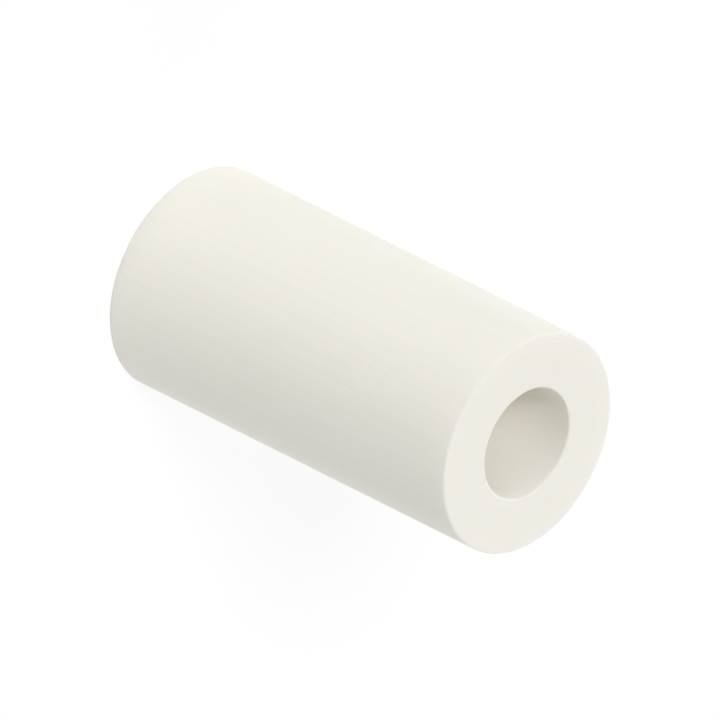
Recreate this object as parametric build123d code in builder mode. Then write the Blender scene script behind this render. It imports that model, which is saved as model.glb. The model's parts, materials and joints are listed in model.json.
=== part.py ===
from build123d import *
import os

# Nylon spacer: a plain round tube, cut square to one length, that a screw passes through.
# It stands on one end. The origin is the centre of that end, +Z runs up the bore, and
# lengths are in millimetres.

# Driving dimensions
outer_diameter = 12.7  # 1/2 inch
bore_diameter = 6.4  # clears a 1/4 inch screw
length = 25.4  # 1 inch, and the gap that the spacer keeps
edge_radius = 0.1  # what deburring leaves on the cut edges

# The tube's section is a ring round the bore, carried up the whole length. Each cut leaves
# a circle round the outside and a circle at the bore's mouth, and all four are rounded.
with BuildPart() as spacer:
    with BuildSketch(Plane.XY):
        Circle(outer_diameter / 2)
        Circle(bore_diameter / 2, mode=Mode.SUBTRACT)
    extrude(amount=length)
    cut_edges = spacer.edges().filter_by(GeomType.CIRCLE)
    fillet(cut_edges, radius=edge_radius)

spacer.part.label = "spacer"

os.makedirs("parts", exist_ok=True)
export_step(spacer.part, "parts/spacer.step")
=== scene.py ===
import json
import math

import bpy
import numpy as np
from bpy.props import FloatProperty, FloatVectorProperty, IntProperty, PointerProperty
from mathutils import Matrix, Vector


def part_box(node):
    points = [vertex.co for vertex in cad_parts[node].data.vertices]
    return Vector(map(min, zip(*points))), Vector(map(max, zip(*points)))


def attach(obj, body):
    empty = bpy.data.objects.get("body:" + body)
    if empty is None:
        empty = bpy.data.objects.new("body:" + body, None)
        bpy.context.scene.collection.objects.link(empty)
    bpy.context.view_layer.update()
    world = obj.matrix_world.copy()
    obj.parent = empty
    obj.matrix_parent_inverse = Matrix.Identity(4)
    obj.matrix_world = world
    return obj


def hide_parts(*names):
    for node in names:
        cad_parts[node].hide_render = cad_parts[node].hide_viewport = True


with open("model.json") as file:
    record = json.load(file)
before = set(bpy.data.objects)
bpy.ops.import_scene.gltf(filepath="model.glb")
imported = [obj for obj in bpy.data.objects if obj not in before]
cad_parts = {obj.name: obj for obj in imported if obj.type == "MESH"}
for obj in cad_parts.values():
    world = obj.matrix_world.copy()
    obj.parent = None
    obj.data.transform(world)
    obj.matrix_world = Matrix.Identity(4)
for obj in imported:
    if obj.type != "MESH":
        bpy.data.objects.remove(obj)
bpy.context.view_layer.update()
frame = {"record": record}

bl_info = {
    "name": "Nylon Spacer",
    "version": (1, 0, 0),
    "blender": (4, 5, 0),
    "location": "3D View > Sidebar > Spacer",
    "description": "Builds a round nylon spacer and the pale stage that it stands on",
    "category": "Add Mesh",
}

MM = 0.001
WHITE = (1.0, 1.0, 1.0, 1.0)

# The frame's box gives the outside of the tube, and the bore's mount gives its radius and how
# long its straight wall is between the two rounded mouths.
LOW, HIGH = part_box("spacer")
BORE = next(m for m in frame["record"]["mounts"] if m["name"] == "bore")["dims"]
OUTER_DIAMETER = HIGH.x - LOW.x
BORE_DIAMETER = 2 * BORE["r_mm"] * MM
LENGTH = HIGH.z - LOW.z
EDGE_RADIUS = (LENGTH - BORE["length_mm"] * MM) / 2

# The finest that a pattern's scale can be set to
FINEST = 0.01 * MM

# The sockets of a Mix node share their names, so they go by number: the factor, the two numbers
# or the two colours that it mixes, and what comes out.
FACTOR, NUMBER_A, NUMBER_B, COLOUR_A, COLOUR_B = 0, 2, 3, 6, 7
NUMBER_OUT, COLOUR_OUT = 0, 2
# So do those of a Math node and of a Mix Shader node.
FIRST, SECOND, THIRD = 0, 1, 2


def linear(hex_colour):
    """The linear red, green and blue of an sRGB hex colour, by the sRGB curve."""
    srgb = np.array([int(hex_colour[i : i + 2], 16) for i in (1, 3, 5)]) / 255
    return tuple(np.where(srgb <= 0.04045, srgb / 12.92, ((srgb + 0.055) / 1.055) ** 2.4))


def add_node(tree, kind, inputs=None, **settings):
    """Adds a node of that kind with its own settings. inputs holds a value for a socket, or the
    output of another node, which is linked to it."""
    node = tree.nodes.new(kind)
    for name, value in settings.items():
        setattr(node, name, value)
    for socket, value in (inputs or {}).items():
        if isinstance(value, bpy.types.NodeSocket):
            tree.links.new(value, node.inputs[socket])
        else:
            node.inputs[socket].default_value = value
    return node


class SpacerSizes(bpy.types.PropertyGroup):
    """What the tube measures, from the frame, and how finely its surface is divided."""

    outer_diameter: FloatProperty(
        name="Outer diameter",
        description="Across the outside of the tube",
        default=OUTER_DIAMETER,
        min=0.0,
        precision=5,
        unit="LENGTH",
        subtype="DISTANCE",
    )
    bore_diameter: FloatProperty(
        name="Bore diameter",
        description="Across the hole that the screw passes through",
        default=BORE_DIAMETER,
        min=0.0,
        precision=5,
        unit="LENGTH",
        subtype="DISTANCE",
    )
    length: FloatProperty(
        name="Length",
        description="From one cut end to the other",
        default=LENGTH,
        min=0.0,
        precision=5,
        unit="LENGTH",
        subtype="DISTANCE",
    )
    edge_radius: FloatProperty(
        name="Edge radius",
        description="Rounding left by deburring on the four cut edges",
        default=EDGE_RADIUS,
        min=0.0,
        precision=6,
        unit="LENGTH",
        subtype="DISTANCE",
    )
    faces_round: IntProperty(
        name="Faces round",
        description="How many faces go once round the tube",
        default=384,
        min=12,
    )
    edge_faces: IntProperty(
        name="Faces across an edge",
        description="How many faces go across each rounded edge",
        default=8,
        min=1,
    )


class NylonFinish(bpy.types.PropertyGroup):
    """The colour and surface of natural nylon, extruded as tube and cut to length."""

    pale: FloatVectorProperty(
        name="Pale colour",
        description="Natural nylon where it is a little milkier",
        default=linear("#F1EEE6"),
        min=0.0,
        max=1.0,
        subtype="COLOR",
    )
    warm: FloatVectorProperty(
        name="Warm colour",
        description="Natural nylon where it is a little clearer and yellower",
        default=linear("#EDEAE0"),
        min=0.0,
        max=1.0,
        subtype="COLOR",
    )
    # Painted shade: a colour a little darker than the nylon, laid on the rounded cut edges, which
    # hides the highlight that these edges catch.
    edge_shade_colour: FloatVectorProperty(
        name="Worked colour",
        description="Nylon scraped dull by the deburring tool on the cut edges",
        default=linear("#ECE9E0"),
        min=0.0,
        max=1.0,
        subtype="COLOR",
    )
    # Painted light: a whiter colour laid on the bore, which lifts the shade and the warmer tint
    # that light bouncing between its walls gives it.
    bore_light_colour: FloatVectorProperty(
        name="Bore colour",
        description="Milkier skin of the bore, which set first against the cold mandrel",
        default=linear("#F5F3ED"),
        min=0.0,
        max=1.0,
        subtype="COLOR",
    )
    glow_share: FloatProperty(
        name="Glow share",
        description="Share of the light that goes into the nylon and comes out elsewhere",
        default=0.3,
        min=0.0,
        max=1.0,
        subtype="FACTOR",
    )
    glow_depth: FloatProperty(
        name="Glow depth",
        description="How far light wanders inside the milky nylon before it comes out",
        default=1.3 * MM,
        min=0.0,
        precision=5,
        unit="LENGTH",
        subtype="DISTANCE",
    )
    wall_smooth: FloatProperty(
        name="Wall roughness, low",
        description="Roughness on the polished crest of a draw line",
        default=0.45,
        min=0.0,
        max=1.0,
        subtype="FACTOR",
    )
    wall_rough: FloatProperty(
        name="Wall roughness, high",
        description="Roughness in the dull groove of a draw line",
        default=0.58,
        min=0.0,
        max=1.0,
        subtype="FACTOR",
    )
    cut_roughness: FloatProperty(
        name="Cut end roughness",
        description="Roughness of the two sheared ends",
        default=0.55,
        min=0.0,
        max=1.0,
        subtype="FACTOR",
    )
    line_pitch: FloatProperty(
        name="Draw line pitch",
        description="From one draw line to the next, round the wall",
        default=0.3 * MM,
        min=FINEST,
        precision=6,
        unit="LENGTH",
        subtype="DISTANCE",
    )
    line_depth: FloatProperty(
        name="Draw line depth",
        description="How deep the draw lines are in the outer wall and the bore",
        default=0.02 * MM,
        min=0.0,
        precision=6,
        unit="LENGTH",
        subtype="DISTANCE",
    )
    ring_pitch: FloatProperty(
        name="Cutter ring pitch",
        description="From one ring to the next on a cut end",
        default=0.25 * MM,
        min=FINEST,
        precision=6,
        unit="LENGTH",
        subtype="DISTANCE",
    )
    ring_depth: FloatProperty(
        name="Cutter ring depth",
        description="How deep the cutter's rings are",
        default=0.005 * MM,
        min=0.0,
        precision=6,
        unit="LENGTH",
        subtype="DISTANCE",
    )
    cloud_size: FloatProperty(
        name="Cloud size",
        description="How wide the milky clouds in the nylon are",
        default=5.0 * MM,
        min=FINEST,
        precision=5,
        unit="LENGTH",
        subtype="DISTANCE",
    )


class StageLook(bpy.types.PropertyGroup):
    """The floor, the light and the view."""

    floor_colour: FloatVectorProperty(
        name="Floor colour",
        description="White sweep under the spacer",
        default=linear("#FFFFFF"),
        min=0.0,
        max=1.0,
        subtype="COLOR",
    )
    shadow_share: FloatProperty(
        name="Shadow share",
        description="How much of the floor's true shading the eye sees, the rest being plain white",
        default=0.15,
        min=0.0,
        max=1.0,
        subtype="FACTOR",
    )
    sky_strength: FloatProperty(
        name="Sky strength",
        description="Even light from all round",
        default=0.2,
        min=0.0,
    )
    key_strength: FloatProperty(
        name="Key strength",
        description="Lamp high in front, where 1 lights a white card to white",
        default=0.574,
        min=0.0,
    )
    back_strength: FloatProperty(
        name="Back strength",
        description="Lamp behind the spacer, where 1 lights a white card to white",
        default=0.335,
        min=0.0,
    )
    side_strength: FloatProperty(
        name="Side strength",
        description="Low lamp at the side, where 1 lights a white card to white",
        default=0.335,
        min=0.0,
    )
    edge_strength: FloatProperty(
        name="Edge strength",
        description="Low lamp between side and front, where 1 lights a white card to white",
        default=0.168,
        min=0.0,
    )
    key_spread: FloatProperty(
        name="Key spread",
        description="How wide the key looks from the spacer, small enough to reach down the bore",
        default=math.radians(20),
        min=0.0,
        unit="ROTATION",
        subtype="ANGLE",
    )
    fill_spread: FloatProperty(
        name="Fill spread",
        description="How wide each other lamp looks from the spacer, which softens its shadow",
        default=math.radians(40),
        min=0.0,
        unit="ROTATION",
        subtype="ANGLE",
    )
    view_turn: FloatProperty(
        name="View turn",
        description="How far round from the tube's own axis the camera stands",
        default=math.radians(45),
        unit="ROTATION",
        subtype="ANGLE",
    )
    view_rise: FloatProperty(
        name="View rise",
        description="How far above the tube's axis the camera stands",
        default=math.radians(30),
        unit="ROTATION",
        subtype="ANGLE",
    )
    view_width: FloatProperty(
        name="View width",
        description="How much the square picture takes in from side to side",
        default=38.65 * MM,
        min=0.0,
        precision=5,
        unit="LENGTH",
        subtype="DISTANCE",
    )


def wall_section(sizes):
    """The closed outline of the tube's wall, cut along the axis: the radius and height of each of
    its points, their outward normals, and how much of each belongs to a cut end and to the bore.

    The outline is a rectangle from the bore to the outside and from one end to the other. Each
    corner is a quarter circle: its centre plus the edge radius times (cos a, sin a), with a going
    through the corner's own quarter turn. Straight stretches are the lines from one quarter
    circle to the next. The share of a cut end is sin a squared: 0 on the walls and 1 on the ends.
    That of the bore is cos a squared where the normal points inwards, and 0 elsewhere."""
    edge = sizes.edge_radius
    inner = sizes.bore_diameter / 2 + edge
    outer = sizes.outer_diameter / 2 - edge
    low, high = edge, sizes.length - edge
    centres = np.array([[outer, low], [outer, high], [inner, high], [inner, low]])
    starts = np.radians([-90, 0, 90, 180])
    turn = np.linspace(0, math.pi / 2, sizes.edge_faces + 1)
    angle = starts[:, None] + turn[None, :]
    normals = np.stack([np.cos(angle), np.sin(angle)], axis=-1)
    points = centres[:, None, :] + edge * normals
    end_share = np.sin(angle).ravel() ** 2
    bore_share = np.minimum(np.cos(angle), 0).ravel() ** 2
    return points.reshape(-1, 2), normals.reshape(-1, 2), end_share, bore_share


def revolve(points, normals, faces_round):
    """Turns a closed outline once round the Z axis.

    A point at radius r and height z goes to (r cos b, r sin b, z) for every b of an even division
    of the full turn, and its normal turns with it. The outline and the turn both close, so the
    grid of faces has no edge."""
    b = np.arange(faces_round) * 2 * math.pi / faces_round
    cos, sin = np.cos(b)[:, None], np.sin(b)[:, None]

    def turned(pairs):
        across, up = pairs[:, 0], pairs[:, 1]
        return np.stack([across * cos, across * sin, up + 0 * cos], axis=-1).reshape(-1, 3)

    count = len(points)
    i = np.arange(faces_round)[:, None]
    j = np.arange(count)[None, :]
    ahead, along = (i + 1) % faces_round * count, (j + 1) % count
    faces = np.stack([i * count + j, ahead + j, ahead + along, i * count + along], axis=-1)
    return turned(points), turned(normals), faces.reshape(-1, 4)


# Nylon 6/6
NYLON_IOR = 1.53
# Red light goes deepest into natural nylon and blue light least, which warms its shadows.
GLOW_BY_COLOUR = (1.0, 0.9, 0.75)
# A draw line runs on for this many times its width.
LINE_STRETCH = 60
LINE_DETAIL, LINE_RAGGEDNESS = 3.0, 0.6
# The flow through the die draws each milky cloud out to this many times its width.
FLOW_STRETCH = 3
CLOUD_DETAIL = 4.0
# How much of the change in colour follows the draw lines. The rest follows the clouds.
STREAK_SHARE = 0.45
# How much milkier the cutter leaves the ends, where 1 is from the warm colour to the pale one.
END_MILK = 0.6
# The noise that draws the lines and clouds keeps mostly to this part of its range.
NOISE_LOW, NOISE_HIGH = 0.3, 0.7
# A ring pattern of scale 1 has its rings this far apart, in metres.
RING_UNIT = math.pi / 10
# The rings wander by up to a fifth of their pitch, within some 5 mm along them.
RING_WANDER, RING_WANDER_DETAIL, RING_WANDER_SCALE = 3.0, 2.0, 0.15


def nylon(look):
    """Natural nylon 6/6, extruded as tube and cut to length.

    Nothing is added to it, so it is a milky, faintly warm off-white. Some of the light wanders
    into it before it comes out, which softens its shading. The die leaves satin walls with fine
    draw lines along them, and the cutter leaves faint rings on the ends. The rounded edges carry
    painted shade, a colour a little darker than the nylon which hides their highlight, and the
    bore carries painted light, a whiter colour which lifts its shade."""
    material = bpy.data.materials.new("nylon_extruded")
    material.use_nodes = True
    tree = material.node_tree
    tree.nodes.clear()
    place = add_node(tree, "ShaderNodeTexCoord").outputs["Object"]
    on_end = add_node(tree, "ShaderNodeAttribute", attribute_name="cut_end").outputs["Fac"]
    # How much of each place takes the painted edge shade, and how much lies in the bore, which
    # takes painted light.
    on_edge_shade = add_node(tree, "ShaderNodeAttribute", attribute_name="edge_shade_share").outputs["Fac"]
    in_bore = add_node(tree, "ShaderNodeAttribute", attribute_name="bore_wall").outputs["Fac"]

    # Draw lines: noise as wide as the lines, drawn out along the tube. Real ones are a few
    # hundredths of a millimetre apart, too fine to show, so these are coarser.
    drawn_out = add_node(
        tree, "ShaderNodeMapping", {"Vector": place, "Scale": (1.0, 1.0, 1 / LINE_STRETCH)}
    ).outputs["Vector"]
    lines = add_node(
        tree,
        "ShaderNodeTexNoise",
        {
            "Vector": drawn_out,
            "Scale": 1 / look.line_pitch,
            "Detail": LINE_DETAIL,
            "Roughness": LINE_RAGGEDNESS,
        },
    ).outputs["Fac"]
    # Cutter rings: one for each turn of the work, so they are round the bore. The real feed is
    # about 0.1 mm a turn, and the rings are drawn coarser so that they show.
    rings = add_node(
        tree,
        "ShaderNodeTexWave",
        {
            "Vector": place,
            "Scale": RING_UNIT / look.ring_pitch,
            "Distortion": RING_WANDER,
            "Detail": RING_WANDER_DETAIL,
            "Detail Scale": RING_WANDER_SCALE,
        },
        wave_type="RINGS",
        rings_direction="Z",
    ).outputs["Fac"]
    line_height = add_node(
        tree, "ShaderNodeMath", {FIRST: lines, SECOND: look.line_depth}, operation="MULTIPLY"
    ).outputs["Value"]
    ring_height = add_node(
        tree, "ShaderNodeMath", {FIRST: rings, SECOND: look.ring_depth}, operation="MULTIPLY"
    ).outputs["Value"]
    height = add_node(
        tree, "ShaderNodeMix", {FACTOR: on_end, NUMBER_A: line_height, NUMBER_B: ring_height}
    ).outputs[NUMBER_OUT]
    # The height is in metres already, so the bump takes it as it is.
    bump = add_node(
        tree, "ShaderNodeBump", {"Strength": 1.0, "Distance": 1.0, "Height": height}
    ).outputs["Normal"]

    wall_roughness = add_node(
        tree,
        "ShaderNodeMapRange",
        {
            "Value": lines,
            "From Min": NOISE_LOW,
            "From Max": NOISE_HIGH,
            "To Min": look.wall_rough,
            "To Max": look.wall_smooth,
        },
    ).outputs["Result"]
    roughness = add_node(
        tree,
        "ShaderNodeMix",
        {FACTOR: on_end, NUMBER_A: wall_roughness, NUMBER_B: look.cut_roughness},
    ).outputs[NUMBER_OUT]

    # Clouds: the crystals in nylon set unevenly, so it is a little milkier in one place than in
    # another, and the flow through the die draws the clouds out along the tube.
    flow = add_node(
        tree, "ShaderNodeMapping", {"Vector": place, "Scale": (1.0, 1.0, 1 / FLOW_STRETCH)}
    ).outputs["Vector"]
    cloud = add_node(
        tree,
        "ShaderNodeTexNoise",
        {"Vector": flow, "Scale": 1 / look.cloud_size, "Detail": CLOUD_DETAIL},
    ).outputs["Fac"]
    streaked = add_node(
        tree, "ShaderNodeMix", {FACTOR: STREAK_SHARE, NUMBER_A: cloud, NUMBER_B: lines}
    ).outputs[NUMBER_OUT]
    milk = add_node(
        tree,
        "ShaderNodeMapRange",
        {"Value": streaked, "From Min": NOISE_LOW, "From Max": NOISE_HIGH},
    ).outputs["Result"]
    # The cutter shears the nylon at the ends, which leaves them a little milkier.
    milkier = add_node(
        tree,
        "ShaderNodeMath",
        {FIRST: on_end, SECOND: END_MILK, THIRD: milk},
        operation="MULTIPLY_ADD",
    ).outputs["Value"]
    # The colour starts from the milkiness. Painted light, a whiter colour on the bore, and painted
    # shade, a darker colour on the rounded edges, are laid over it.
    colour = add_node(
        tree,
        "ShaderNodeMix",
        {FACTOR: milkier, COLOUR_A: (*look.warm, 1.0), COLOUR_B: (*look.pale, 1.0)},
        data_type="RGBA",
    ).outputs[COLOUR_OUT]
    for share, over in ((in_bore, look.bore_light_colour), (on_edge_shade, look.edge_shade_colour)):
        colour = add_node(
            tree,
            "ShaderNodeMix",
            {FACTOR: share, COLOUR_A: colour, COLOUR_B: (*over, 1.0)},
            data_type="RGBA",
        ).outputs[COLOUR_OUT]

    surface = add_node(
        tree,
        "ShaderNodeBsdfPrincipled",
        {
            "Base Color": colour,
            "Roughness": roughness,
            "IOR": NYLON_IOR,
            "Normal": bump,
            "Subsurface Weight": look.glow_share,
            "Subsurface Radius": GLOW_BY_COLOUR,
            "Subsurface Scale": look.glow_depth,
        },
    )
    add_node(tree, "ShaderNodeOutputMaterial", {"Surface": surface.outputs["BSDF"]})
    return material


def keep_share(mesh, name, share, faces_round):
    """Puts one number on every point of a turned outline: the same all the way round."""
    mesh.attributes.new(name, "FLOAT", "POINT").data.foreach_set(
        "value", np.tile(share, faces_round).astype(np.float32)
    )


class SPACER_OT_tube(bpy.types.Operator):
    """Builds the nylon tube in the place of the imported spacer"""

    bl_idname = "spacer.tube"
    bl_label = "Build Nylon Tube"

    def execute(self, context):
        sizes = context.scene.spacer_sizes
        points, normals, end_share, bore_share = wall_section(sizes)
        around = sizes.faces_round
        places, directions, faces = revolve(points, normals, around)
        mesh = bpy.data.meshes.new("nylon_tube")
        mesh.from_pydata(places, [], faces)
        mesh.shade_smooth()
        mesh.normals_split_custom_set_from_vertices(directions)
        keep_share(mesh, "cut_end", end_share, around)
        # Where the bore lies, which carries painted light.
        keep_share(mesh, "bore_wall", bore_share, around)
        # Where the painted edge shade lies: 1 half way round a rounded edge, falling to 0 where it
        # meets a wall or an end
        keep_share(mesh, "edge_shade_share", 4 * end_share * (1 - end_share), around)
        mesh.materials.append(nylon(context.scene.spacer_nylon))
        tube = bpy.data.objects.new("nylon_tube", mesh)
        context.scene.collection.objects.link(tube)
        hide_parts("spacer")
        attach(tube, "root")
        return {"FINISHED"}


# White to the eye. The floor's own shading is a little under 1, so its plain part is a little
# over, and the open floor comes out white.
EYE_WHITE = 1.02
# How far the floor reaches each way, in metres: past the edges of any view
FLOOR_REACH = 0.6
# The floor is this far under the spacer, so that the two don't lie in one plane.
FLOOR_GAP = 0.01 * MM
# How far off the camera stands, and the nearest and farthest that it sees, in metres
CAMERA_DISTANCE = 0.3
CLIP_NEAR, CLIP_FAR = 0.01, 5.0
# Light goes from wall to wall many times inside a white bore before it is spent.
BORE_BOUNCES = 16
# Each lamp's direction from the spacer: round from +X towards +Y, and up from the floor, in
# degrees. Its strength is the stage's property of the same name.
LAMPS = {"key": (120, 50), "back": (270, 30), "side": (0, 15), "edge": (60, 15)}


def white_to_the_eye(tree):
    """1 for a camera, glossy or transmission ray, and 0 for the light that falls on things."""
    path = add_node(tree, "ShaderNodeLightPath")
    seen = path.outputs["Is Camera Ray"]
    for kind in ("Is Glossy Ray", "Is Transmission Ray"):
        seen = add_node(
            tree, "ShaderNodeMath", {FIRST: seen, SECOND: path.outputs[kind]}, operation="MAXIMUM"
        ).outputs["Value"]
    return seen


def floor_material(look):
    """White paper sweep, smooth and dull. To the eye it is mostly plain white, with a share of
    its true shading left, which keeps the spacer's shadow on it."""
    material = bpy.data.materials.new("paper_sweep")
    material.use_nodes = True
    tree = material.node_tree
    tree.nodes.clear()
    colour = (*look.floor_colour, 1.0)
    paper = add_node(tree, "ShaderNodeBsdfDiffuse", {"Color": colour}).outputs["BSDF"]
    plain = add_node(
        tree, "ShaderNodeEmission", {"Color": colour, "Strength": EYE_WHITE}
    ).outputs["Emission"]
    plain_share = add_node(
        tree,
        "ShaderNodeMath",
        {FIRST: white_to_the_eye(tree), SECOND: 1 - look.shadow_share},
        operation="MULTIPLY",
    ).outputs["Value"]
    mixed = add_node(
        tree, "ShaderNodeMixShader", {FIRST: plain_share, SECOND: paper, THIRD: plain}
    ).outputs["Shader"]
    add_node(tree, "ShaderNodeOutputMaterial", {"Surface": mixed})
    return material


class SPACER_OT_stage(bpy.types.Operator):
    """Builds the floor, the light and the camera"""

    bl_idname = "spacer.stage"
    bl_label = "Build Stage"

    def execute(self, context):
        look = context.scene.spacer_stage
        self.lay_floor(context.scene, look)
        self.light_sky(context.scene, look)
        for name, (round_angle, up_angle) in LAMPS.items():
            self.hang_lamp(context.scene, look, name, round_angle, up_angle)
        self.place_camera(context.scene, look)
        context.scene.cycles.max_bounces = BORE_BOUNCES
        context.scene.cycles.diffuse_bounces = BORE_BOUNCES
        context.scene.view_settings.view_transform = "Standard"
        return {"FINISHED"}

    def lay_floor(self, scene, look):
        """A square of paper under the spacer."""
        corners = np.array([(-1, -1), (1, -1), (1, 1), (-1, 1)]) * FLOOR_REACH
        points = np.column_stack([corners, np.full(len(corners), LOW.z - FLOOR_GAP)])
        mesh = bpy.data.meshes.new("floor")
        mesh.from_pydata(points, [], [(0, 1, 2, 3)])
        mesh.materials.append(floor_material(look))
        floor = bpy.data.objects.new("floor", mesh)
        scene.collection.objects.link(floor)

    def light_sky(self, scene, look):
        """Even light from all round, which is white where it is seen."""
        world = bpy.data.worlds.new("sky")
        scene.world = world
        world.use_nodes = True
        tree = world.node_tree
        tree.nodes.clear()
        light = add_node(
            tree, "ShaderNodeBackground", {"Color": WHITE, "Strength": look.sky_strength}
        ).outputs["Background"]
        plain = add_node(
            tree, "ShaderNodeBackground", {"Color": WHITE, "Strength": 1.0}
        ).outputs["Background"]
        mixed = add_node(
            tree,
            "ShaderNodeMixShader",
            {FIRST: white_to_the_eye(tree), SECOND: light, THIRD: plain},
        ).outputs["Shader"]
        add_node(tree, "ShaderNodeOutputWorld", {"Surface": mixed})

    def hang_lamp(self, scene, look, name, round_angle, up_angle):
        """A far, large, soft lamp. A sun of strength pi lights a white card that faces it to 1."""
        data = bpy.data.lights.new(name, "SUN")
        data.energy = getattr(look, name + "_strength") * math.pi
        data.angle = look.key_spread if name == "key" else look.fill_spread
        a, e = math.radians(round_angle), math.radians(up_angle)
        towards = Vector((math.cos(a) * math.cos(e), math.sin(a) * math.cos(e), math.sin(e)))
        lamp = bpy.data.objects.new(name, data)
        lamp.rotation_mode = "QUATERNION"
        lamp.rotation_quaternion = towards.to_track_quat("Z", "Y")
        scene.collection.objects.link(lamp)

    def place_camera(self, scene, look):
        """The camera looks at the spacer's middle without perspective. Its picture is turned so
        that the tube lies as in the photograph: +Y is up and the upper end is nearer."""
        turn, rise = look.view_turn, look.view_rise
        back = Vector(
            (-math.cos(rise) * math.sin(turn), math.sin(rise), math.cos(rise) * math.cos(turn))
        )
        right = Vector((0, 1, 0)).cross(back).normalized()
        turned = Matrix((right, back.cross(right), back)).transposed()
        data = bpy.data.cameras.new("camera")
        data.type = "ORTHO"
        data.ortho_scale = look.view_width
        data.clip_start = CLIP_NEAR
        data.clip_end = CLIP_FAR
        camera = bpy.data.objects.new("camera", data)
        middle = (LOW + HIGH) / 2
        camera.matrix_world = (
            Matrix.Translation(middle + back * CAMERA_DISTANCE) @ turned.to_4x4()
        )
        scene.collection.objects.link(camera)
        scene.camera = camera


class SPACER_PT_sidebar(bpy.types.Panel):
    """Lists the sizes and colours, and the steps that build from them"""

    bl_idname = "SPACER_PT_sidebar"
    bl_label = "Nylon Spacer"
    bl_space_type = "VIEW_3D"
    bl_region_type = "UI"
    bl_category = "Spacer"

    def draw(self, context):
        for name, group in GROUPS.items():
            box = self.layout.box()
            for setting in group.__annotations__:
                box.prop(getattr(context.scene, name), setting)
        for operator in OPERATORS:
            self.layout.operator(operator.bl_idname)


GROUPS = {"spacer_sizes": SpacerSizes, "spacer_nylon": NylonFinish, "spacer_stage": StageLook}
OPERATORS = [SPACER_OT_tube, SPACER_OT_stage]


def register():
    for name, group in GROUPS.items():
        bpy.utils.register_class(group)
        setattr(bpy.types.Scene, name, PointerProperty(type=group))
    for made in (*OPERATORS, SPACER_PT_sidebar):
        bpy.utils.register_class(made)


def unregister():
    for made in (SPACER_PT_sidebar, *reversed(OPERATORS)):
        bpy.utils.unregister_class(made)
    for name, group in reversed(GROUPS.items()):
        delattr(bpy.types.Scene, name)
        bpy.utils.unregister_class(group)


def main():
    register()
    bpy.ops.spacer.tube()
    bpy.ops.spacer.stage()


if __name__ == "__main__":
    main()
